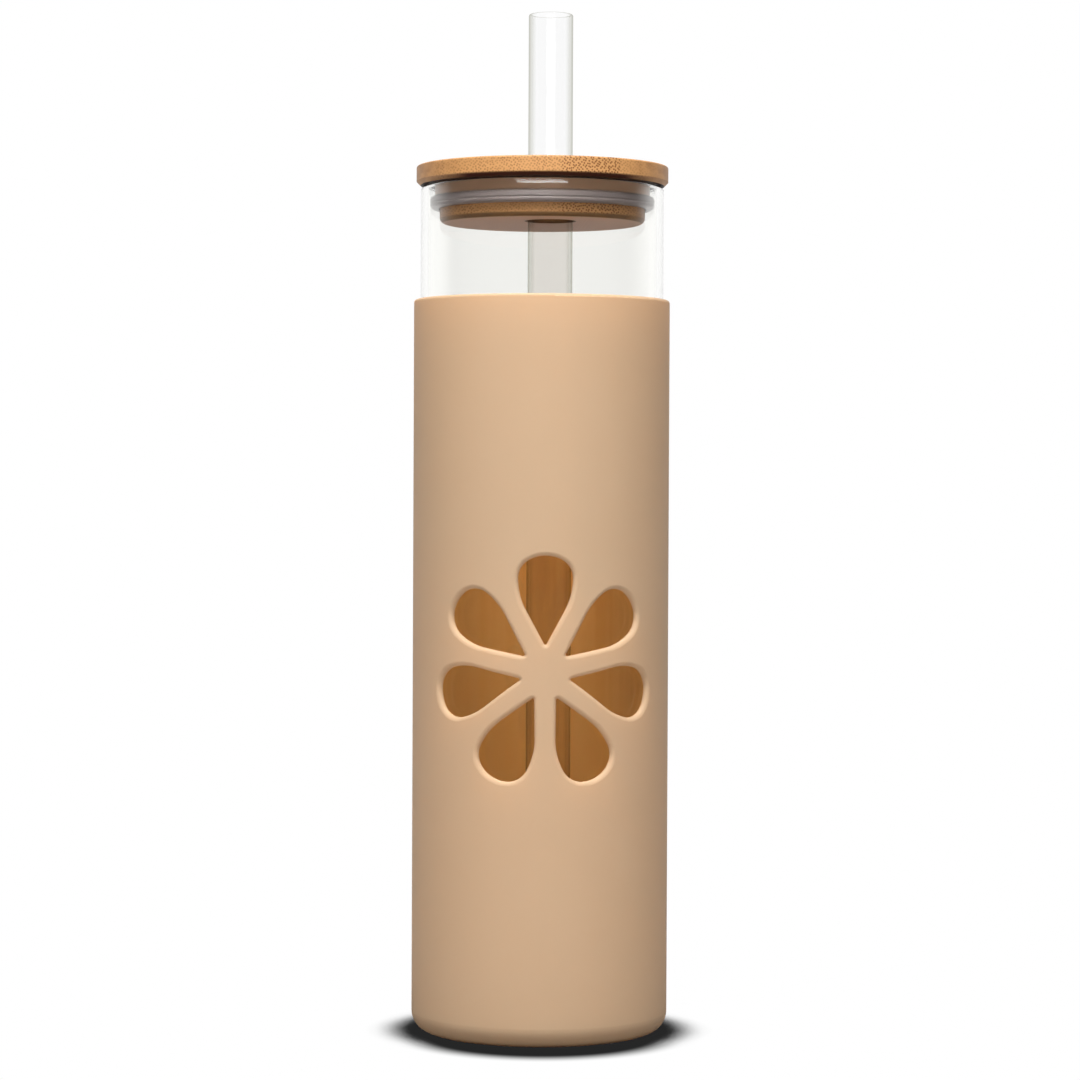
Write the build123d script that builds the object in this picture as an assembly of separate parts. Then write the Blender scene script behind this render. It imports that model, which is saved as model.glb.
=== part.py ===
from build123d import *
import math
import os

# Glass tumbler in a silicone sleeve, with a bamboo lid, its silicone seal and a glass straw.
# Millimetres. +Z is up, z = 0 is the face that it stands on, -Y is the front with the window group.

# Glass tumbler
tumbler_diameter = 66.5
tumbler_height = 228.8      # from its own underside to the rim
tumbler_wall = 2.1
tumbler_floor = 3.0
tumbler_corner = 3.75        # outside radius where the side turns into the base
tumbler_inner_corner = 3.2

# Silicone sleeve
sleeve_wall = 1.6
sleeve_floor = 1.8
bare_glass = 30.75            # from the sleeve's lip to the tumbler's rim

# Window group: teardrops that point at a common hub, sized for the upright one
petal_count = 7
hub_height = 99.7
petal_apex = 7.05            # hub to where the straight sides would meet
petal_widest = 25.0          # hub to the widest place
petal_reach = 31.1           # hub to the round end
petal_width = 14.5
petal_spread = 1.06          # sideways spread of their directions, as if the sleeve had stretched
level_length = 1.04          # lengths of a level one, as a share of the upright one's
level_width = 0.94           # its width, likewise
petal_shoulder = 18.0        # radius that bends the straight sides in towards the widest place
petal_end_radius = 9.0       # radius of the round end
petal_tip_radius = 0.4
petal_edge_share = 0.69      # share of the wall that the soft outer edge of each opening rounds off

# Bamboo lid
disc_overhang = 1.2          # disc beyond the outside of the tumbler
disc_thickness = 5.2
disc_top_round = 0.5
disc_bottom_bevel = 1.1
plug_depth = 10.4            # how far the plug reaches below the disc
plug_bottom_round = 1.5
neck_depth = 1.6             # how far the neck is turned down to take the seal
neck_height = 6.3
hole_round = 0.6

# Lid seal: a ring with three fins, each given by its height above the ring's foot
seal_thickness = 3.0
lip_height = 0.5
lip_thickness = 0.9
lower_fin_height = 1.9
lower_fin_thickness = 1.4
upper_fin_height = 4.1
upper_fin_thickness = 1.9

# Glass straw
straw_diameter = 12.0
straw_wall = 1.0
straw_above_lid = 40.3
straw_offset = 10.5          # axis of the straw from the axis of the bottle
straw_turn = 9.5             # degrees from the front, towards +X

# Clearances
sleeve_gap = 0.15            # tumbler in the sleeve, all round and below
seat_gap = 0.45              # disc above the rim
plug_gap = 3.05              # plug in the tumbler, all round
seal_gap = 0.2               # seal on its neck, inside, above and below
lip_gap = 1.0                # seal's lip to the glass
lower_fin_gap = 0.35
upper_fin_gap = 0.7
straw_hole_gap = 0.55        # straw in the lid's hole, all round
straw_foot_gap = 0.3         # straw above the tumbler's floor

# Derived sizes
tumbler_radius = tumbler_diameter / 2
tumbler_bore = tumbler_radius - tumbler_wall
sleeve_bore = tumbler_radius + sleeve_gap
sleeve_radius = sleeve_bore + sleeve_wall
plug_radius = tumbler_bore - plug_gap
neck_radius = plug_radius - neck_depth
disc_radius = tumbler_radius + disc_overhang
seal_bore = neck_radius + seal_gap
seal_radius = seal_bore + seal_thickness
straw_radius = straw_diameter / 2
hole_radius = straw_radius + straw_hole_gap

# Derived heights
tumbler_base_z = sleeve_floor + sleeve_gap
tumbler_floor_z = tumbler_base_z + tumbler_floor
rim_z = tumbler_base_z + tumbler_height
sleeve_top_z = rim_z - bare_glass
disc_z = rim_z + seat_gap
disc_top_z = disc_z + disc_thickness
plug_z = disc_z - plug_depth
neck_z = disc_z - neck_height
seal_foot_z = neck_z + seal_gap
straw_foot_z = tumbler_floor_z + straw_foot_gap
straw_top_z = disc_top_z + straw_above_lid

# Derived places
turn = math.radians(straw_turn)
straw_x = straw_offset * math.sin(turn)
straw_y = -straw_offset * math.cos(turn)
full_round = 0.49            # share of a wall that rounds its end almost completely
overcut = 1.0                # how far a cutter runs past what it cuts


def rod(radius, z_low, z_high):
    """Solid cylinder on the bottle's axis between two heights."""
    return Pos(0, 0, z_low) * Cylinder(radius, z_high - z_low, align=(Align.CENTER, Align.CENTER, Align.MIN))


def edges_at(shape, z, radius):
    """Circular edges of one radius at one height."""
    circles = shape.edges().filter_by(GeomType.CIRCLE)
    return [e for e in circles if abs(e.center().Z - z) < 1e-3 and abs(e.radius - radius) < 1e-3]


def cup(outer, inner, z_low, z_floor, z_high, outer_corner, inner_corner):
    """Round cup with rounded corners and a rounded rim."""
    shell = rod(outer, z_low, z_high)
    shell = fillet(edges_at(shell, z_low, outer), outer_corner)
    hollow = rod(inner, z_floor, z_high + overcut)
    hollow = fillet(edges_at(hollow, z_floor, inner), inner_corner)
    shell = shell - hollow
    rim = edges_at(shell, z_high, outer) + edges_at(shell, z_high, inner)
    return fillet(rim, full_round * (outer - inner))


def straw_hole():
    """Cutter for the hole that the straw passes through."""
    return Pos(straw_x, straw_y, 0) * rod(hole_radius, plug_z - overcut, disc_top_z + overcut)


def petal_outline(length_share, width_share):
    """Teardrop with the hub at the origin, pointing along +X: a straight side and three arcs, mirrored."""
    half_width = width_share * petal_width / 2
    widest = length_share * petal_widest
    end_centre = length_share * petal_reach - petal_end_radius
    apex = Vector(length_share * petal_apex, 0)
    to_shoulder = Vector(widest, half_width - petal_shoulder) - apex
    slope = math.atan2(to_shoulder.Y, to_shoulder.X) + math.asin(petal_shoulder / to_shoulder.length)
    side_length = math.sqrt(to_shoulder.length ** 2 - petal_shoulder ** 2)
    along_side = Vector(math.cos(slope), math.sin(slope))
    # The corner arc starts at the widest place and runs into the end arc
    offset = widest - end_centre
    corner = (petal_end_radius ** 2 - offset ** 2 - half_width ** 2) / (2 * (petal_end_radius - half_width))
    to_corner = Vector(offset, half_width - corner).normalized()
    corner_end = Vector(end_centre, 0) + to_corner * petal_end_radius
    end_angle = math.degrees(math.atan2(to_corner.Y, to_corner.X))
    with BuildSketch() as outline:
        with BuildLine():
            side = Line(apex, apex + along_side * side_length)
            shoulder = TangentArc(side @ 1, (widest, half_width), tangent=along_side)
            TangentArc(shoulder @ 1, corner_end, tangent=(1, 0))
            CenterArc((end_centre, 0), petal_end_radius, 0, end_angle)
            mirror(about=Plane.XZ)
        make_face()
        fillet(outline.vertices().sort_by(Axis.X)[0], petal_tip_radius)
    return outline.sketch


def petal_cutter(index):
    """One teardrop, cut square to the wall at its own middle."""
    even_angle = math.radians(90 + index * 360 / petal_count)
    level = math.cos(even_angle) ** 2
    length_share = 1 + level * (level_length - 1)
    width_share = 1 + level * (level_width - 1)
    angle = math.atan2(math.sin(even_angle), petal_spread * math.cos(even_angle))
    middle = length_share * (petal_apex + petal_reach) / 2
    azimuth = middle * math.cos(angle) / sleeve_radius
    wall = Plane(
        origin=(0, 0, hub_height + middle * math.sin(angle)),
        x_dir=(math.cos(azimuth), math.sin(azimuth), 0),
        z_dir=(math.sin(azimuth), -math.cos(azimuth), 0),
    )
    outline = Rot(0, 0, math.degrees(angle)) * Pos(-middle, 0, 0) * petal_outline(length_share, width_share)
    return extrude(wall * outline, sleeve_radius + overcut)


def make_sleeve():
    corner = tumbler_corner + sleeve_gap
    sleeve = cup(sleeve_radius, sleeve_bore, 0, sleeve_floor, sleeve_top_z, corner + sleeve_wall, corner)
    for index in range(petal_count):
        sleeve = sleeve - petal_cutter(index)
    outside = sleeve.faces().filter_by(GeomType.CYLINDER).sort_by(SortBy.AREA)[-1]
    openings = [edge for wire in outside.inner_wires() for edge in wire.edges()]
    return fillet(openings, petal_edge_share * sleeve_wall)


def make_tumbler():
    return cup(tumbler_radius, tumbler_bore, tumbler_base_z, tumbler_floor_z, rim_z,
               tumbler_corner, tumbler_inner_corner)


def make_lid_disc():
    disc = rod(disc_radius, disc_z, disc_top_z)
    disc = fillet(edges_at(disc, disc_top_z, disc_radius), disc_top_round)
    disc = chamfer(edges_at(disc, disc_z, disc_radius), disc_bottom_bevel)
    disc = disc - straw_hole()
    return fillet(edges_at(disc, disc_top_z, hole_radius), hole_round)


def make_lid_plug():
    plug = rod(plug_radius, plug_z, neck_z) + rod(neck_radius, neck_z, disc_z)
    plug = fillet(edges_at(plug, plug_z, plug_radius), plug_bottom_round)
    plug = plug - straw_hole()
    return fillet(edges_at(plug, plug_z, hole_radius), hole_round)


def seal_fin(height, thickness, gap):
    """One rounded fin that stops short of the glass by the gap."""
    centre_z = seal_foot_z + height
    reach = tumbler_bore - gap
    fin = rod(reach, centre_z - thickness / 2, centre_z + thickness / 2)
    edge_round = full_round * min(thickness, 2 * (reach - seal_radius))
    return fillet(fin.edges().filter_by(GeomType.CIRCLE), edge_round)


def make_lid_seal():
    seal = rod(seal_radius, seal_foot_z, disc_z - seal_gap)
    seal = seal + seal_fin(lip_height, lip_thickness, lip_gap)
    seal = seal + seal_fin(lower_fin_height, lower_fin_thickness, lower_fin_gap)
    seal = seal + seal_fin(upper_fin_height, upper_fin_thickness, upper_fin_gap)
    return seal - rod(seal_bore, seal_foot_z - overcut, disc_z)


def make_straw():
    tube = rod(straw_radius, straw_foot_z, straw_top_z)
    tube = tube - rod(straw_radius - straw_wall, straw_foot_z - overcut, straw_top_z + overcut)
    tube = fillet(tube.edges().filter_by(GeomType.CIRCLE), full_round * straw_wall)
    return Pos(straw_x, straw_y, 0) * tube


parts = {
    "sleeve": make_sleeve(),
    "tumbler": make_tumbler(),
    "lid_disc": make_lid_disc(),
    "lid_plug": make_lid_plug(),
    "lid_seal": make_lid_seal(),
    "straw": make_straw(),
}

os.makedirs("parts", exist_ok=True)
for name, shape in parts.items():
    export_step(shape, f"parts/{name}.step")
    print(name, len(shape.solids()), round(shape.volume, 1), shape.bounding_box())
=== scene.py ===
import math

import bmesh
import bpy
from mathutils import Matrix, Vector


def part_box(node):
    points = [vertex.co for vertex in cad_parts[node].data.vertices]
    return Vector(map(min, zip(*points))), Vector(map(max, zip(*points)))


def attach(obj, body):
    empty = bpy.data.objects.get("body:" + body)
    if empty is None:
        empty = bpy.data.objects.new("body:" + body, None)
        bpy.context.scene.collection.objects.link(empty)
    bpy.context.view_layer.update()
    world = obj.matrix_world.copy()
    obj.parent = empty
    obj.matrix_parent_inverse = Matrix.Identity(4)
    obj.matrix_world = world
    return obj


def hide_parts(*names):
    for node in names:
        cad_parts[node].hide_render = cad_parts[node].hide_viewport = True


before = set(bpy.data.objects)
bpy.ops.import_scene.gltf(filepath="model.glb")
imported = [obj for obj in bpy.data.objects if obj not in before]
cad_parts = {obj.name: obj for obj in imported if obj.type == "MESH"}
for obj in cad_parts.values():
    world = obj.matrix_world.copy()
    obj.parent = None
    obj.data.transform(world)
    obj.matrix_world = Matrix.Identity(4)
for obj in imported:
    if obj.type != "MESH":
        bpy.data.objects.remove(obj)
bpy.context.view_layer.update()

# All lengths are metres, heights are above the surface that the bottle stands on, and -Y is the front
MM = 0.001
WHITE = (1.0, 1.0, 1.0, 1.0)

# ---------------------------------------------------------------------------------------------
# Camera: a long lens level with the sleeve's upper part, so that the lid is seen from just underneath
# ---------------------------------------------------------------------------------------------
CAMERA_LENS = 110.0          # millimetres
CAMERA_SENSOR = 36.0         # millimetres
CAMERA_DISTANCE = 0.905      # from the bottle's axis
CAMERA_HEIGHT = 0.1476
CAMERA_TURN = 2.2            # degrees to the left of the front
CAMERA_ROLL = 0.25           # degrees, the bottle leans to the right in the view
CAMERA_CLIP = (0.01, 20.0)   # nearest and furthest that it sees
AIM_HEIGHT = 0.1344
AIM_SIDE = -0.00025


def make_camera():
    turn = math.radians(CAMERA_TURN)
    place = Vector((-CAMERA_DISTANCE * math.sin(turn), -CAMERA_DISTANCE * math.cos(turn), CAMERA_HEIGHT))
    aim = Vector((AIM_SIDE * math.cos(turn), -AIM_SIDE * math.sin(turn), AIM_HEIGHT))
    data = bpy.data.cameras.new("camera")
    data.lens = CAMERA_LENS
    data.sensor_width = CAMERA_SENSOR
    data.clip_start, data.clip_end = CAMERA_CLIP
    camera = bpy.data.objects.new("camera", data)
    bpy.context.scene.collection.objects.link(camera)
    look = (aim - place).to_track_quat("-Z", "Y").to_matrix().to_4x4()
    roll = Matrix.Rotation(math.radians(CAMERA_ROLL), 4, "Z")
    camera.matrix_world = Matrix.Translation(place) @ look @ roll
    bpy.context.scene.camera = camera


# ---------------------------------------------------------------------------------------------
# Helpers for materials
# ---------------------------------------------------------------------------------------------
def linear(code):
    """A linear colour with alpha from an sRGB hex code such as 'd9b491'."""
    channels = [int(code[i:i + 2], 16) / 255 for i in (0, 2, 4)]
    straight = [c / 12.92 if c <= 0.04045 else ((c + 0.055) / 1.055) ** 2.4 for c in channels]
    return (*straight, 1.0)


def add(tree, kind, inputs=None, **settings):
    """Adds a node; inputs maps socket names or numbers to values or to other nodes' outputs."""
    node = tree.nodes.new(kind)
    for key, value in settings.items():
        setattr(node, key, value)
    for key, value in (inputs or {}).items():
        socket = node.inputs[key]
        if isinstance(value, bpy.types.NodeSocket):
            tree.links.new(value, socket)
        else:
            socket.default_value = value
    return node


def new_material(name):
    """An empty material with its node tree and output node."""
    material = bpy.data.materials.new(name)
    material.use_nodes = True
    tree = material.node_tree
    tree.nodes.clear()
    return material, tree, add(tree, "ShaderNodeOutputMaterial")


def finish_node(name, material):
    """Gives one CAD node its material."""
    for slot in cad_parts[name].material_slots:
        slot.material = material


# ---------------------------------------------------------------------------------------------
# Turned pieces: finer than the CAD's facets, which glass and wet-looking silicone would show
# ---------------------------------------------------------------------------------------------
TURN_STEPS = 360             # round the axis
ARC_STEPS = 16               # along each rounding of a profile
BRACE = 0.1 * MM             # from each end of a straight run to the ring that keeps it flat
BRACED_RUN = 0.4 * MM        # shorter runs need none

GLASS_WALL = 2.1 * MM
GLASS_FLOOR = 3.0 * MM
GLASS_CORNER = 3.75 * MM
GLASS_INNER_CORNER = 3.2 * MM
RIM_ROUND = 1.03 * MM

STRAW_WALL = 1.0 * MM
STRAW_ROUND = 0.49 * MM

SEAL_STEPS = 72              # up the seal's outside
SEAL_BORE = 26.7 * MM
SEAL_COLLAR = 29.4 * MM      # outside radius of the thin collar above the seal's band
SEAL_BAND = 30.7 * MM        # outside radius of the band that closes on the glass
SEAL_SKIRT = 0.6 * MM        # how far its soft edge hangs below the neck's shoulder
SKIRT_BORE = 28.4 * MM
BAND_MIDDLE = 1.1 * MM       # above the seal's foot
BAND_HALF = 1.68 * MM
BAND_SHARPNESS = 4           # how square the band's rounded face is
GROOVE_HEIGHT = 0.7 * MM     # fine groove round the band, above the seal's foot
GROOVE_HALF = 0.3 * MM
GROOVE_DEPTH = 0.2 * MM
GROOVE_SHARPNESS = 2


def arc(radius, height, bend, start, end):
    """Points of an arc in the profile plane, angles in degrees from the outward direction."""
    angles = [math.radians(start + (end - start) * i / ARC_STEPS) for i in range(ARC_STEPS + 1)]
    return [(radius + bend * math.cos(a), height + bend * math.sin(a)) for a in angles]


def braced(profile):
    """The profile with a point near each end of a long straight run, which smooth shading then keeps flat."""
    points = []
    for (r0, z0), (r1, z1) in zip(profile, profile[1:] + profile[:1]):
        points.append((r0, z0))
        length = math.hypot(r1 - r0, z1 - z0)
        if length > BRACED_RUN:
            share = BRACE / length
            points.append((r0 + (r1 - r0) * share, z0 + (z1 - z0) * share))
            points.append((r1 - (r1 - r0) * share, z1 - (z1 - z0) * share))
    return points


def turned(name, profile, node, body, material, centre=(0.0, 0.0)):
    """Turns a closed profile of (radius, height) about an upright axis and lets it stand for one CAD node."""
    mesh = bpy.data.meshes.new(name)
    shape = bmesh.new()
    rings = []
    for radius, height in braced(profile):
        angles = [2 * math.pi * i / TURN_STEPS for i in range(TURN_STEPS if radius > 0 else 1)]
        rings.append([shape.verts.new((
            centre[0] + radius * math.cos(a), centre[1] + radius * math.sin(a), height)) for a in angles])
    for lower, upper in zip(rings, rings[1:] + rings[:1]):
        for i in range(TURN_STEPS):
            around = ((lower, i), (lower, i + 1), (upper, i + 1), (upper, i))
            corners = list(dict.fromkeys(ring[j % len(ring)] for ring, j in around))
            if len(corners) > 2:
                shape.faces.new(corners)
    bmesh.ops.recalc_face_normals(shape, faces=shape.faces)
    for face in shape.faces:
        face.smooth = True
    shape.to_mesh(mesh)
    shape.free()
    mesh.materials.append(material)
    piece = bpy.data.objects.new(name, mesh)
    bpy.context.scene.collection.objects.link(piece)
    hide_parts(node)
    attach(piece, body)


def make_tumbler(material):
    """Blown tumbler: a straight wall, a heavier floor and a fire-polished rim."""
    low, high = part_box("tumbler")
    base, rim, outside = low[2], high[2], high[0]
    floor, inside = base + GLASS_FLOOR, outside - GLASS_WALL
    profile = [(0.0, floor), (0.0, base)]
    profile += arc(outside - GLASS_CORNER, base + GLASS_CORNER, GLASS_CORNER, -90, 0)
    profile += arc(outside - RIM_ROUND, rim - RIM_ROUND, RIM_ROUND, 0, 90)
    profile += arc(inside + RIM_ROUND, rim - RIM_ROUND, RIM_ROUND, 90, 180)
    profile += arc(inside - GLASS_INNER_CORNER, floor + GLASS_INNER_CORNER, GLASS_INNER_CORNER, 0, -90)
    turned("tumbler_glass", profile, "tumbler", "tumbler", material)


def straw_section():
    """The straw's axis and its outside radius."""
    low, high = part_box("straw")
    return ((low[0] + high[0]) / 2, (low[1] + high[1]) / 2), (high[0] - low[0]) / 2


def make_straw(material):
    """Drawn glass tube with fire-polished ends."""
    low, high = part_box("straw")
    centre, outside = straw_section()
    inside = outside - STRAW_WALL
    top, foot = high[2] - STRAW_ROUND, low[2] + STRAW_ROUND
    profile = arc(outside - STRAW_ROUND, foot, STRAW_ROUND, -90, 0)
    profile += arc(outside - STRAW_ROUND, top, STRAW_ROUND, 0, 90)
    profile += arc(inside + STRAW_ROUND, top, STRAW_ROUND, 90, 180)
    profile += arc(inside + STRAW_ROUND, foot, STRAW_ROUND, 180, 270)
    turned("straw_tube", profile, "straw", "straw", material, centre)


def swell(height, middle, half, sharpness):
    """1 at the middle of a bead and 0 beyond its half width, with a rounded face."""
    share = min(abs(height - middle) / half, 1.0)
    return math.sqrt(1 - share ** sharpness)


def make_seal(material):
    """Moulded ring: a smooth collar, and below it one broad soft band with a fine groove."""
    low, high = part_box("lid_seal")
    foot, top = low[2], high[2]
    skirt = foot - SEAL_SKIRT
    profile = [(SEAL_BORE, foot), (SKIRT_BORE, foot), (SKIRT_BORE, skirt)]
    for i in range(SEAL_STEPS + 1):
        height = skirt + (top - skirt) * i / SEAL_STEPS
        band = swell(height - foot, BAND_MIDDLE, BAND_HALF, BAND_SHARPNESS) * (SEAL_BAND - SEAL_COLLAR)
        groove = swell(height - foot, GROOVE_HEIGHT, GROOVE_HALF, GROOVE_SHARPNESS) * GROOVE_DEPTH
        profile.append((SEAL_COLLAR + band - groove, height))
    profile.append((SEAL_BORE, top))
    turned("seal_ring", profile, "lid_seal", "seal", material)


# ---------------------------------------------------------------------------------------------
# Silicones
# ---------------------------------------------------------------------------------------------
SILICONE_IOR = 1.41
SLEEVE_ROUGHNESS = 0.62
SLEEVE_BORE = 33.4 * MM      # where the sleeve grips the glass
GRIP_EDGE = (0.05 * MM, 0.15 * MM)   # the gripping face ends between these depths in the wall
BASE_ROUND = 5.5 * MM        # the sleeve's rounded lower edge
SHADE_SLANT = (0.6, 0.0, 1.0)         # painted shade: the gripping face's colour darkens upwards and to the right,
SHADE_SLANT_START = 88.0 * MM               # from here along that direction
SHADE_SLANT_END = 128.0 * MM               # to here
SAND_CLOUD = 22.22 * MM      # soft patches of shade
BLAST_GRAIN = 0.4 * MM       # the blasted tool's grain, drawn coarser than real or it would not show
BLAST_DEPTH = 0.05 * MM      # bump only, like the bamboo's pits
BLAST_STRENGTH = 0.15
STREAK_PITCH = 4.348 * MM      # upright streaks of painted reflection on the gripping face, side by side
STREAK_STRETCH = 0.02          # how much slower they change upwards than sideways
STREAK_SHOWN = (0.42, 0.62)    # levels of the noise at which a streak begins and is full
STREAK_SHARE = 0.5             # how much of its own colour a full streak has
OUTER_PASSING = 0.31         # share of the light that goes through the skin,
GRIPPED_PASSING = 0.6        # and where it grips
SEAL_ROUGHNESS = 0.3
SEAL_CLARITY = 0.45          # share of the light that passes into it
COLLAR_FADE = (0.8, 1.2)     # where the band thins out into the collar, in half bands above its middle


def silicone_sleeve():
    """Platinum-cured silicone, moulded in a blasted tool: dead matte and a little translucent.

    Where it grips the glass it looks a deeper brown, partly from wetting out on the glass and partly
    painted: the colour that light takes on as it bounces about inside the hollow sleeve. Painted shade
    darkens it upwards and to the right, and upright streaks of painted reflection lighten it."""
    material, tree, out = new_material("moulded_sand_silicone")
    place = add(tree, "ShaderNodeTexCoord").outputs["Object"]
    cloud = add(tree, "ShaderNodeTexNoise", {"Vector": place, "Scale": 1 / SAND_CLOUD, "Detail": 3.0})
    sand = add(tree, "ShaderNodeMix", {
        "Factor": cloud.outputs["Fac"], "A": linear("dcbe9a"), "B": linear("e0c3a0")}, data_type="RGBA")

    # Where it grips
    flat = add(tree, "ShaderNodeVectorMath", {0: place, 1: (1.0, 1.0, 0.0)}, operation="MULTIPLY")
    radius = add(tree, "ShaderNodeVectorMath", {0: flat.outputs[0]}, operation="LENGTH").outputs["Value"]
    within = add(tree, "ShaderNodeMapRange", {
        "Value": radius, "From Min": SLEEVE_BORE + GRIP_EDGE[0], "From Max": SLEEVE_BORE + GRIP_EDGE[1],
        "To Min": 1.0, "To Max": 0.0})
    height = add(tree, "ShaderNodeSeparateXYZ", {0: place}).outputs["Z"]
    above = add(tree, "ShaderNodeMapRange", {
        "Value": height, "From Min": BASE_ROUND, "From Max": 2 * BASE_ROUND})
    gripping = add(tree, "ShaderNodeMath", {0: within.outputs[0], 1: above.outputs[0]}, operation="MULTIPLY")

    # What it looks like there: a deeper brown, partly painted light bouncing inside the sleeve, and painted
    # shade growing upwards and to the right
    slant = add(tree, "ShaderNodeVectorMath", {0: place, 1: SHADE_SLANT}, operation="DOT_PRODUCT")
    painted_slant_shade = add(tree, "ShaderNodeMapRange", {
        "Value": slant.outputs["Value"], "From Min": SHADE_SLANT_START, "From Max": SHADE_SLANT_END})
    wet_and_bounce_colour = add(tree, "ShaderNodeMix", {
        "Factor": painted_slant_shade.outputs[0], "A": linear("ffca76"), "B": linear("c88a40")}, data_type="RGBA")
    # Upright lighter streaks: painted reflection of the glass
    streak_place = add(tree, "ShaderNodeMapping", {"Vector": place, "Scale": (1.0, 1.0, STREAK_STRETCH)})
    streak_noise = add(tree, "ShaderNodeTexNoise", {
        "Vector": streak_place.outputs[0], "Scale": 1 / STREAK_PITCH, "Detail": 3.0})
    streak = add(tree, "ShaderNodeMapRange", {
        "Value": streak_noise.outputs["Fac"], "From Min": STREAK_SHOWN[0], "From Max": STREAK_SHOWN[1],
        "To Max": STREAK_SHARE})
    streaked = add(tree, "ShaderNodeMix", {
        "Factor": streak.outputs[0], "A": wet_and_bounce_colour.outputs["Result"], "B": linear("ffd890")}, data_type="RGBA")
    colour = add(tree, "ShaderNodeMix", {
        "Factor": gripping.outputs[0], "A": sand.outputs["Result"], "B": streaked.outputs["Result"]},
        data_type="RGBA")

    grain = add(tree, "ShaderNodeTexNoise", {"Vector": place, "Scale": 1 / BLAST_GRAIN, "Detail": 2.0})
    bump = add(tree, "ShaderNodeBump", {
        "Height": grain.outputs["Fac"], "Strength": BLAST_STRENGTH, "Distance": BLAST_DEPTH})
    skin = add(tree, "ShaderNodeBsdfPrincipled", {
        "Base Color": colour.outputs["Result"], "Roughness": SLEEVE_ROUGHNESS, "IOR": SILICONE_IOR,
        "Normal": bump.outputs["Normal"]})
    glow = add(tree, "ShaderNodeBsdfTranslucent", {"Color": linear("fcd096")})
    passing = add(tree, "ShaderNodeMapRange", {
        "Value": gripping.outputs[0], "To Min": OUTER_PASSING, "To Max": GRIPPED_PASSING})
    both = add(tree, "ShaderNodeMixShader", {0: passing.outputs[0], 1: skin.outputs[0], 2: glow.outputs[0]})
    tree.links.new(both.outputs[0], out.inputs["Surface"])
    return material


def seal_silicone():
    """Unpigmented silicone: milky where the ring is thick, and the wood shows through its thin collar."""
    material, tree, out = new_material("clear_silicone_seal")
    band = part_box("lid_seal")[0][2] + BAND_MIDDLE
    place = add(tree, "ShaderNodeTexCoord").outputs["Object"]
    height = add(tree, "ShaderNodeSeparateXYZ", {0: place}).outputs["Z"]
    thin = add(tree, "ShaderNodeMapRange", {
        "Value": height, "From Min": band + COLLAR_FADE[0] * BAND_HALF,
        "From Max": band + COLLAR_FADE[1] * BAND_HALF})
    colour = add(tree, "ShaderNodeMix", {
        "Factor": thin.outputs[0], "A": linear("b0a2a0"), "B": linear("ffd0a8")}, data_type="RGBA")
    rubber = add(tree, "ShaderNodeBsdfPrincipled", {
        "Base Color": colour.outputs["Result"], "Roughness": SEAL_ROUGHNESS, "IOR": SILICONE_IOR,
        "Transmission Weight": SEAL_CLARITY})
    tree.links.new(rubber.outputs[0], out.inputs["Surface"])
    return material


# ---------------------------------------------------------------------------------------------
# Glass
# ---------------------------------------------------------------------------------------------
GLASS_IOR = 1.47
INNER_EDGE = 0.35            # how strongly the straw's inner wall shows an edge, against its outer one
EDGE_SHOWN = (0.25, 0.85)    # the straw's edge deepens between these shares of grazing
SHEEN_STEEPNESS = 4.0        # how fast the straw's reflection grows towards its edge
SHEEN = (0.004, 0.25)        # that reflection face on and at the edge
SHEEN_ROUGHNESS = 0.03


def tumbler_glass():
    """Blown borosilicate: clear, and almost without colour even at its edges."""
    material, tree, out = new_material("borosilicate_tumbler")
    tint = linear("fffffd")
    glass = add(tree, "ShaderNodeBsdfPrincipled", {
        "Base Color": tint, "Roughness": 0.0, "IOR": GLASS_IOR, "Transmission Weight": 1.0})
    through = add(tree, "ShaderNodeBsdfTransparent", {"Color": tint})
    path = add(tree, "ShaderNodeLightPath")
    both = add(tree, "ShaderNodeMixShader", {
        0: path.outputs["Is Shadow Ray"], 1: glass.outputs[0], 2: through.outputs[0]})
    tree.links.new(both.outputs[0], out.inputs["Surface"])
    return material


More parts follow.
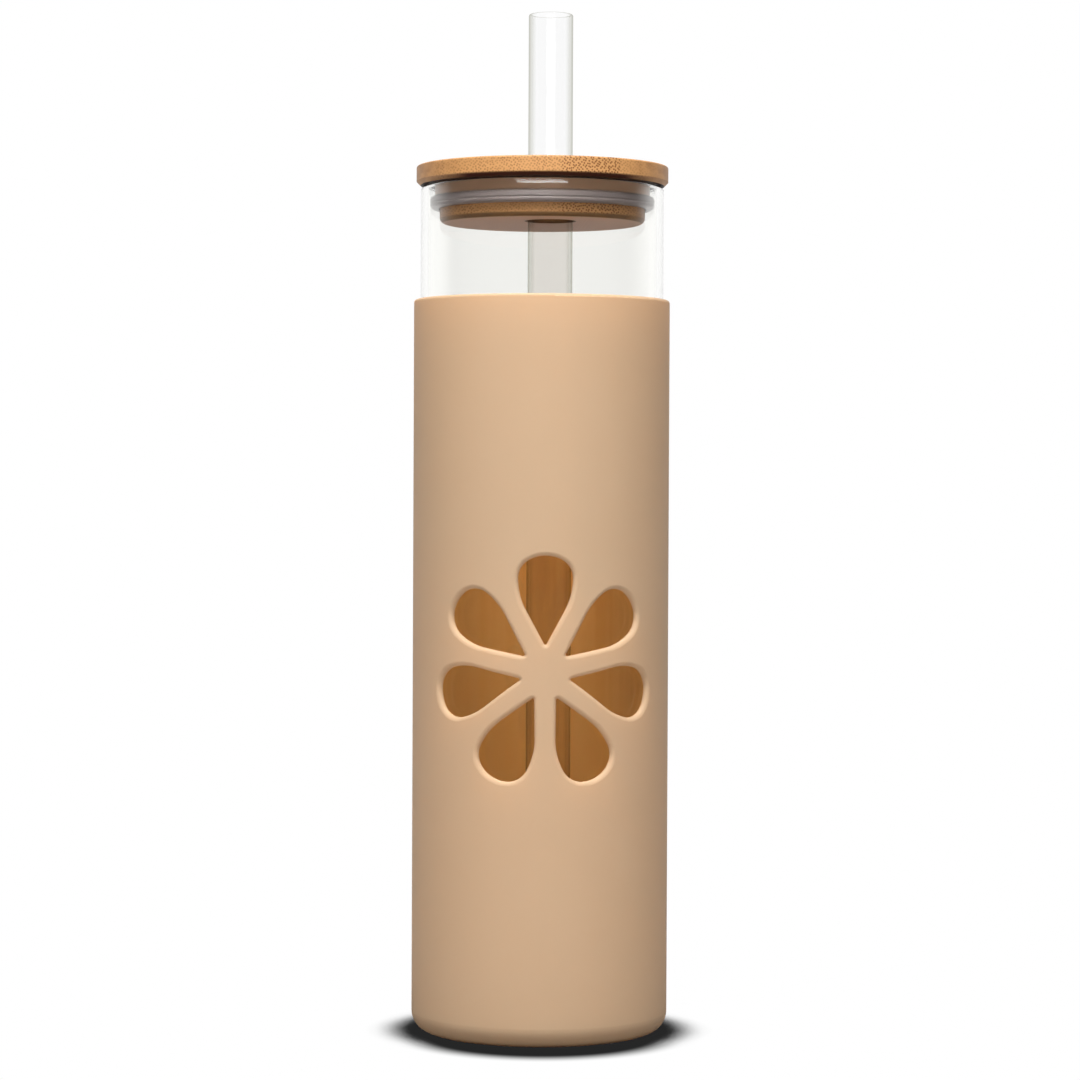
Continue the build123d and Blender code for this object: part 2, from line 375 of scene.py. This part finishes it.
def straw_glass():
    """Drawn borosilicate tube, so thin that it hardly bends what is behind it: clear, with soft grey edges.

    Below the lid it lets a little less light through."""
    material, tree, out = new_material("borosilicate_straw")
    place = add(tree, "ShaderNodeTexCoord").outputs["Object"]
    height = add(tree, "ShaderNodeSeparateXYZ", {0: place}).outputs["Z"]
    inside = add(tree, "ShaderNodeMapRange", {
        "Value": height, "From Min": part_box("lid_disc")[1][2], "From Max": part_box("lid_plug")[0][2]})
    below_lid_tint = add(tree, "ShaderNodeMix", {
        "Factor": inside.outputs[0], "A": linear("fefefe"), "B": linear("faf9f8")}, data_type="RGBA")

    # Its outer wall shows an edge, and its inner wall a fainter one
    (axis_x, axis_y), outside = straw_section()
    bore = outside - STRAW_WALL
    flat = add(tree, "ShaderNodeVectorMath", {0: place, 1: (1.0, 1.0, 0.0)}, operation="MULTIPLY")
    radius = add(tree, "ShaderNodeVectorMath", {
        0: flat.outputs[0], 1: (axis_x, axis_y, 0.0)}, operation="DISTANCE").outputs["Value"]
    wall = add(tree, "ShaderNodeMapRange", {
        "Value": radius, "From Min": bore, "From Max": bore + STRAW_WALL / 2, "To Min": INNER_EDGE})
    facing = add(tree, "ShaderNodeLayerWeight", {"Blend": 0.5}).outputs["Facing"]
    grazing = add(tree, "ShaderNodeMath", {0: facing, 1: wall.outputs[0]}, operation="MULTIPLY").outputs[0]
    edge = add(tree, "ShaderNodeMapRange", {
        "Value": grazing, "From Min": EDGE_SHOWN[0], "From Max": EDGE_SHOWN[1]})
    tint = add(tree, "ShaderNodeMix", {
        "Factor": edge.outputs[0], "A": below_lid_tint.outputs["Result"], "B": linear("dcdcd6")}, data_type="RGBA")

    through = add(tree, "ShaderNodeBsdfTransparent", {"Color": tint.outputs["Result"]})
    mirror = add(tree, "ShaderNodeBsdfGlossy", {"Roughness": SHEEN_ROUGHNESS})
    steep = add(tree, "ShaderNodeMath", {0: grazing, 1: SHEEN_STEEPNESS}, operation="POWER")
    shine = add(tree, "ShaderNodeMapRange", {
        "Value": steep.outputs[0], "To Min": SHEEN[0], "To Max": SHEEN[1]})
    both = add(tree, "ShaderNodeMixShader", {
        0: shine.outputs[0], 1: through.outputs[0], 2: mirror.outputs[0]})
    tree.links.new(both.outputs[0], out.inputs["Surface"])
    return material


# ---------------------------------------------------------------------------------------------
# Bamboo
# ---------------------------------------------------------------------------------------------
BAMBOO_IOR = 1.4
BAMBOO_ROUGHNESS = 0.5
DISC_BEVEL = 1.1 * MM
PLUG_ROUND = 1.5 * MM
STRIP = 15.5 * MM            # width of one bamboo strip
STRIP_START = 3.9 * MM       # where one strip begins
STRIP_CYCLE = 3.0            # one strip in so many is from the culm's dense outside
END_GRAIN = 21.0 * MM        # within this the lid's edge cuts the fibres across, and beyond
SIDE_GRAIN = 31.0 * MM       # this they run along it
FIBRE = 1.4286 * MM          # streaks, side by side, drawn coarser than real fibres or they would not show
FIBRE_STRETCH = 0.05         # how much slower a streak changes along than across
BUNDLE = 0.72 * MM           # dark fibre bundles, centre to centre, a little coarser than real to show
BUNDLE_SCATTER = 0.6         # 0 would be an even grid
BUNDLE_TURN = 0.6            # radians, their rows run at a slant
BUNDLE_CORE = 0.2            # dark to this share of their spacing,
BUNDLE_RIM = 0.42            # and gone at this one
PATCH = 7.692 * MM           # patches where the bundles show more or less
PATCH_SHOWN = (0.35, 0.65)   # levels of the noise between which they grow darker
FAINT = (0.3, 0.65)          # how dark they are at those levels, against a dense strip's
SIDE_STREAKS = 0.6           # how dark the side grain's streaks are
EDGE_FULL = 0.6              # share of the lower edge's height where its painted shade is darkest
DOWNWARD = (-0.9, -0.98)     # upward part of a normal where the underside's painted tone begins and is full
PIT_DEPTH = 0.05 * MM
PIT_STRENGTH = 0.3


def bamboo(name, node, edge, light, deep, edge_shade_colour, underside_painted_tone):
    """Laminated bamboo, turned, sanded and oiled, with its fibres running from front to back.

    The front and back show end grain, dark dots under a millimetre apart, and the sides and top show
    streaks. The lower edge is dark brown at the front and back, painted shade where it faces down, and the
    underside has a colour of its own: painted shade on the disc, painted light on the plug."""
    material, tree, out = new_material(name)
    coordinates = add(tree, "ShaderNodeTexCoord")
    place = coordinates.outputs["Object"]
    axes = add(tree, "ShaderNodeSeparateXYZ", {0: place})
    facing = add(tree, "ShaderNodeSeparateXYZ", {0: coordinates.outputs["Normal"]}).outputs["Z"]

    # Strips side by side, each with its own strength of streaks
    across = add(tree, "ShaderNodeMath", {0: axes.outputs["X"], 1: STRIP_START}, operation="SUBTRACT")
    counted = add(tree, "ShaderNodeMath", {0: across.outputs[0], 1: STRIP}, operation="DIVIDE")
    number = add(tree, "ShaderNodeMath", {0: counted.outputs[0]}, operation="FLOOR")
    lot = add(tree, "ShaderNodeTexWhiteNoise", {"W": number.outputs[0]}, noise_dimensions="1D")
    fibres = add(tree, "ShaderNodeMapping", {"Vector": place, "Scale": (1.0, FIBRE_STRETCH, 1.0)})
    streaks = add(tree, "ShaderNodeTexNoise", {
        "Vector": fibres.outputs[0], "Scale": 1 / FIBRE, "Detail": 3.0})
    shade = add(tree, "ShaderNodeMix", {
        "Factor": lot.outputs["Value"], "A": streaks.outputs["Fac"], "B": 0.5})
    base = add(tree, "ShaderNodeMix", {
        "Factor": shade.outputs["Result"], "A": linear(light), "B": linear(deep)}, data_type="RGBA")

    # Fibre bundles, dots in the end grain, strongest in the dense strips
    section = add(tree, "ShaderNodeCombineXYZ", {"X": axes.outputs["X"], "Y": axes.outputs["Z"]})
    slanted = add(tree, "ShaderNodeMapping", {
        "Vector": section.outputs[0], "Rotation": (0.0, 0.0, BUNDLE_TURN)})
    bundles = add(tree, "ShaderNodeTexVoronoi", {
        "Vector": slanted.outputs[0], "Scale": 1 / BUNDLE, "Randomness": BUNDLE_SCATTER},
        voronoi_dimensions="2D")
    dots = add(tree, "ShaderNodeMapRange", {
        "Value": bundles.outputs["Distance"], "From Min": BUNDLE_CORE, "From Max": BUNDLE_RIM,
        "To Min": 1.0, "To Max": 0.0})
    turn = add(tree, "ShaderNodeMath", {0: number.outputs[0], 1: STRIP_CYCLE}, operation="FLOORED_MODULO")
    dense = add(tree, "ShaderNodeMath", {0: turn.outputs[0], 1: 0.5}, operation="LESS_THAN")
    patches = add(tree, "ShaderNodeTexNoise", {"Vector": place, "Scale": 1 / PATCH, "Detail": 2.0})
    faint = add(tree, "ShaderNodeMapRange", {
        "Value": patches.outputs["Fac"], "From Min": PATCH_SHOWN[0], "From Max": PATCH_SHOWN[1],
        "To Min": FAINT[0], "To Max": FAINT[1]})
    strength = add(tree, "ShaderNodeMath", {0: faint.outputs[0], 1: dense.outputs[0]}, operation="MAXIMUM")

    # End grain at the front and back, side grain at the sides
    sideways = add(tree, "ShaderNodeMath", {0: axes.outputs["X"]}, operation="ABSOLUTE")
    ends = add(tree, "ShaderNodeMapRange", {
        "Value": sideways.outputs[0], "From Min": END_GRAIN, "From Max": SIDE_GRAIN,
        "To Min": 1.0, "To Max": 0.0})
    open_ends = add(tree, "ShaderNodeMath", {0: dots.outputs[0], 1: ends.outputs[0]}, operation="MULTIPLY")
    pores = add(tree, "ShaderNodeMath", {
        0: open_ends.outputs[0], 1: strength.outputs[0]}, operation="MULTIPLY")
    sides = add(tree, "ShaderNodeMapRange", {
        "Value": ends.outputs[0], "From Min": 1.0, "From Max": 0.0, "To Max": SIDE_STREAKS})
    lines = add(tree, "ShaderNodeMath", {
        0: sides.outputs[0], 1: streaks.outputs["Fac"]}, operation="MULTIPLY")
    dark = add(tree, "ShaderNodeMath", {0: pores.outputs[0], 1: lines.outputs[0]}, operation="ADD")
    grain = add(tree, "ShaderNodeMix", {
        "Factor": dark.outputs[0], "A": base.outputs["Result"], "B": linear("80502a")}, data_type="RGBA")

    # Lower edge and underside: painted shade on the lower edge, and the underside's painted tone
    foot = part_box(node)[0][2]
    low = add(tree, "ShaderNodeMapRange", {
        "Value": axes.outputs["Z"], "From Min": foot + EDGE_FULL * edge, "From Max": foot + edge,
        "To Min": 1.0, "To Max": 0.0}, interpolation_type="SMOOTHSTEP")
    # Painted shade on the downward-facing lower edge, at the front and back only
    painted_edge_shade = add(tree, "ShaderNodeMath", {0: low.outputs[0], 1: ends.outputs[0]}, operation="MULTIPLY")
    with_edge_shade = add(tree, "ShaderNodeMix", {
        "Factor": painted_edge_shade.outputs[0], "A": grain.outputs["Result"], "B": linear(edge_shade_colour)}, data_type="RGBA")
    # The underside's own colour: painted shade on the disc, painted light on the plug
    below = add(tree, "ShaderNodeMapRange", {
        "Value": facing, "From Min": DOWNWARD[0], "From Max": DOWNWARD[1]})
    colour = add(tree, "ShaderNodeMix", {
        "Factor": below.outputs[0], "A": with_edge_shade.outputs["Result"], "B": linear(underside_painted_tone)}, data_type="RGBA")

    pits = add(tree, "ShaderNodeBump", {
        "Height": dark.outputs[0], "Strength": PIT_STRENGTH, "Distance": PIT_DEPTH}, invert=True)
    wood = add(tree, "ShaderNodeBsdfPrincipled", {
        "Base Color": colour.outputs["Result"], "Roughness": BAMBOO_ROUGHNESS, "IOR": BAMBOO_IOR,
        "Normal": pits.outputs["Normal"]})
    tree.links.new(wood.outputs[0], out.inputs["Surface"])
    return material


make_camera()
finish_node("sleeve", silicone_sleeve())
# The last two colours of each are painted: shade on the lower edge, and on the underside shade for the disc,
# light for the plug
finish_node("lid_disc", bamboo(
    "bamboo_disc", "lid_disc", DISC_BEVEL, "d8a268", "c48e58", "481a00", "3a1c04"))
finish_node("lid_plug", bamboo(
    "bamboo_plug", "lid_plug", PLUG_ROUND, "d49c64", "ba844e", "7a5630", "dca880"))
make_tumbler(tumbler_glass())
make_straw(straw_glass())
make_seal(seal_silicone())


# ---------------------------------------------------------------------------------------------
# Studio: a white floor and backdrop, a softbox high in front, and behind it a dim room with a bright panel
# ---------------------------------------------------------------------------------------------
ROOM_LEVEL = 0.06            # what a reflection of the room in front of the bottle shows
PANEL_LEVEL = 10.0           # and what it shows of a bright, low, wide panel there
PANEL_X = (-0.038, 0.4)      # middle and half width of the panel's direction
PANEL_Z = (0.1716, 0.0784)   # middle and half height of it
BACKDROP_LIGHT = 1.9         # light that the white backdrop sheds on the bottle
ROOM_LIGHT = 0.48            # light from the room in front
SIDE_LIGHT = 0.07            # light from the sides

# Backward part of a direction
BACKDROP_REFLECTED = (0.15, 0.5)     # between these, reflections change from the room to the backdrop
BACKDROP_LIT = (0.45, 0.9)           # where the backdrop's light begins, and where it is full
ROOM_LIT = (-0.4, -0.95)             # the same for the light from the room

FLOOR_HALF = 8.0
FLOOR_REFLECTED = (0.5, 0.85)        # the same as BACKDROP_REFLECTED, for places on the floor
FOOT_RING = (0.03, 0.06)             # radii between which the paper goes from shaded to open
SHADOW_LEVEL = 0.02                  # how bright the paper looks in its full shadow
SHADOW_REACH = 16.0 * MM             # how far away a thing still shades it
SHADOW_SAMPLES = 16
SHADOW_TOWARDS = (0.0, 0.7, 0.71)    # the floor is shaded by what stands above it and towards the backdrop
SHADOW_OPEN = (0.6, 0.93)            # share of open sky at which the shadow is full and gone
CAST_SHIFT = (0.0, 12.5 * MM, 0.0)   # the light from behind throws the base's shadow this far forward
CAST_EDGE = (30.0 * MM, 41.0 * MM)   # radii of that shadow's full dark and of its end

KEY_PLACE = (-0.06, -0.54, 1.18)
KEY_AIM = (0.0, 0.0, 0.13)
KEY_SIZE = 0.7
KEY_POWER = 24.0


def backdrop(tree, behind, lit_shader, seen_shader, room_shader):
    """Straight views, also through glass, see the backdrop; reflections see it behind and the room in front.

    behind is 1 where the surroundings lie behind the bottle and 0 where they lie in front."""
    path = add(tree, "ShaderNodeLightPath")
    either = add(tree, "ShaderNodeMath", {0: path.outputs["Is Camera Ray"], 1: path.outputs["Is Glossy Ray"]},
                 operation="MAXIMUM")
    looked = add(tree, "ShaderNodeMath", {0: either.outputs[0], 1: path.outputs["Is Transmission Ray"]},
                 operation="MAXIMUM")
    seen = add(tree, "ShaderNodeMath", {0: looked.outputs[0], 1: path.outputs["Diffuse Depth"]},
               operation="SUBTRACT", use_clamp=True)
    straight = add(tree, "ShaderNodeMath", {0: path.outputs["Glossy Depth"], 1: 0.5}, operation="LESS_THAN")
    bright = add(tree, "ShaderNodeMath", {0: straight.outputs[0], 1: behind}, operation="MAXIMUM")
    reflected = add(tree, "ShaderNodeMixShader", {0: bright.outputs[0], 1: room_shader, 2: seen_shader})
    return add(tree, "ShaderNodeMixShader", {0: seen.outputs[0], 1: lit_shader, 2: reflected.outputs[0]})


def make_world():
    world = bpy.data.worlds.new("studio")
    world.use_nodes = True
    tree = world.node_tree
    tree.nodes.clear()
    direction = add(tree, "ShaderNodeTexCoord").outputs["Generated"]
    axes = add(tree, "ShaderNodeSeparateXYZ", {0: direction})
    depth = axes.outputs["Y"]
    behind = add(tree, "ShaderNodeMapRange", {
        "Value": depth, "From Min": BACKDROP_REFLECTED[0], "From Max": BACKDROP_REFLECTED[1]})

    # Light on the bottle
    from_backdrop = add(tree, "ShaderNodeMapRange", {
        "Value": depth, "From Min": BACKDROP_LIT[0], "From Max": BACKDROP_LIT[1],
        "To Min": SIDE_LIGHT, "To Max": BACKDROP_LIGHT})
    from_room = add(tree, "ShaderNodeMapRange", {
        "Value": depth, "From Min": ROOM_LIT[0], "From Max": ROOM_LIT[1],
        "To Min": SIDE_LIGHT, "To Max": ROOM_LIGHT})
    shed = add(tree, "ShaderNodeMath", {
        0: from_backdrop.outputs[0], 1: from_room.outputs[0]}, operation="MAXIMUM")
    lit = add(tree, "ShaderNodeBackground", {"Color": WHITE, "Strength": shed.outputs[0]})

    # What reflections show of the room, and what is seen straight
    high = add(tree, "ShaderNodeMath", {
        0: axes.outputs["Z"], 1: PANEL_Z[0], 2: PANEL_Z[1]}, operation="COMPARE")
    wide = add(tree, "ShaderNodeMath", {
        0: axes.outputs["X"], 1: PANEL_X[0], 2: PANEL_X[1]}, operation="COMPARE")
    panel = add(tree, "ShaderNodeMath", {0: high.outputs[0], 1: wide.outputs[0]}, operation="MULTIPLY")
    shown = add(tree, "ShaderNodeMapRange", {
        "Value": panel.outputs[0], "To Min": ROOM_LEVEL, "To Max": PANEL_LEVEL})
    room = add(tree, "ShaderNodeBackground", {"Color": WHITE, "Strength": shown.outputs[0]})
    seen = add(tree, "ShaderNodeBackground", {"Color": WHITE, "Strength": 1.0})
    mix = backdrop(tree, behind.outputs[0], lit.outputs[0], seen.outputs[0], room.outputs[0])
    tree.links.new(mix.outputs[0], add(tree, "ShaderNodeOutputWorld").inputs["Surface"])
    bpy.context.scene.world = world


def paper_floor():
    """White paper: it keeps the contact shadow, and further out it is as white as the backdrop."""
    material, tree, out = new_material("white_paper_floor")
    place = add(tree, "ShaderNodeTexCoord").outputs["Object"]
    direction = add(tree, "ShaderNodeVectorMath", {0: place}, operation="NORMALIZE").outputs[0]
    depth = add(tree, "ShaderNodeSeparateXYZ", {0: direction}).outputs["Y"]
    behind = add(tree, "ShaderNodeMapRange", {
        "Value": depth, "From Min": FLOOR_REFLECTED[0], "From Max": FLOOR_REFLECTED[1]})

    # The light that it gives back to the bottle
    distance = add(tree, "ShaderNodeVectorMath", {0: place}, operation="LENGTH").outputs["Value"]
    open_air = add(tree, "ShaderNodeMapRange", {
        "Value": distance, "From Min": FOOT_RING[0], "From Max": FOOT_RING[1]})
    sheet = add(tree, "ShaderNodeMix", {
        "Factor": open_air.outputs[0], "A": linear("747474"), "B": linear("b8b8b8")}, data_type="RGBA")
    paper = add(tree, "ShaderNodeBsdfDiffuse", {"Color": sheet.outputs["Result"]})

    # The shadow: what stands close by, and the round base's shadow thrown forward
    nearness = add(tree, "ShaderNodeAmbientOcclusion", {
        "Distance": SHADOW_REACH, "Normal": SHADOW_TOWARDS}, samples=SHADOW_SAMPLES)
    shade = add(tree, "ShaderNodeMapRange", {
        "Value": nearness.outputs["AO"], "From Min": SHADOW_OPEN[0], "From Max": SHADOW_OPEN[1],
        "To Min": SHADOW_LEVEL, "To Max": 1.0}, interpolation_type="SMOOTHSTEP")
    shifted = add(tree, "ShaderNodeVectorMath", {0: place, 1: CAST_SHIFT}, operation="ADD")
    reach = add(tree, "ShaderNodeVectorMath", {0: shifted.outputs[0]}, operation="LENGTH").outputs["Value"]
    cast = add(tree, "ShaderNodeMapRange", {
        "Value": reach, "From Min": CAST_EDGE[0], "From Max": CAST_EDGE[1],
        "To Min": SHADOW_LEVEL, "To Max": 1.0}, interpolation_type="SMOOTHSTEP")
    darker = add(tree, "ShaderNodeMath", {0: shade.outputs[0], 1: cast.outputs[0]}, operation="MINIMUM")

    seen = add(tree, "ShaderNodeEmission", {"Color": WHITE, "Strength": darker.outputs[0]})
    room = add(tree, "ShaderNodeEmission", {"Color": WHITE, "Strength": ROOM_LEVEL})
    mix = backdrop(tree, behind.outputs[0], paper.outputs[0], seen.outputs[0], room.outputs[0])
    tree.links.new(mix.outputs[0], out.inputs["Surface"])
    return material


def make_floor():
    mesh = bpy.data.meshes.new("floor")
    half = FLOOR_HALF
    corners = [(-half, -half, 0), (half, -half, 0), (half, half, 0), (-half, half, 0)]
    mesh.from_pydata(corners, [], [(0, 1, 2, 3)])
    mesh.materials.append(paper_floor())
    floor = bpy.data.objects.new("floor", mesh)
    bpy.context.scene.collection.objects.link(floor)


def make_key():
    """A square softbox high in front, a little to the left."""
    data = bpy.data.lights.new("key_softbox", "AREA")
    data.shape = "SQUARE"
    data.size = KEY_SIZE
    data.energy = KEY_POWER
    lamp = bpy.data.objects.new("key_softbox", data)
    bpy.context.scene.collection.objects.link(lamp)
    place = Vector(KEY_PLACE)
    look = (Vector(KEY_AIM) - place).to_track_quat("-Z", "Y").to_matrix().to_4x4()
    lamp.matrix_world = Matrix.Translation(place) @ look


make_world()
make_floor()
make_key()

bpy.context.scene.view_settings.view_transform = "Standard"
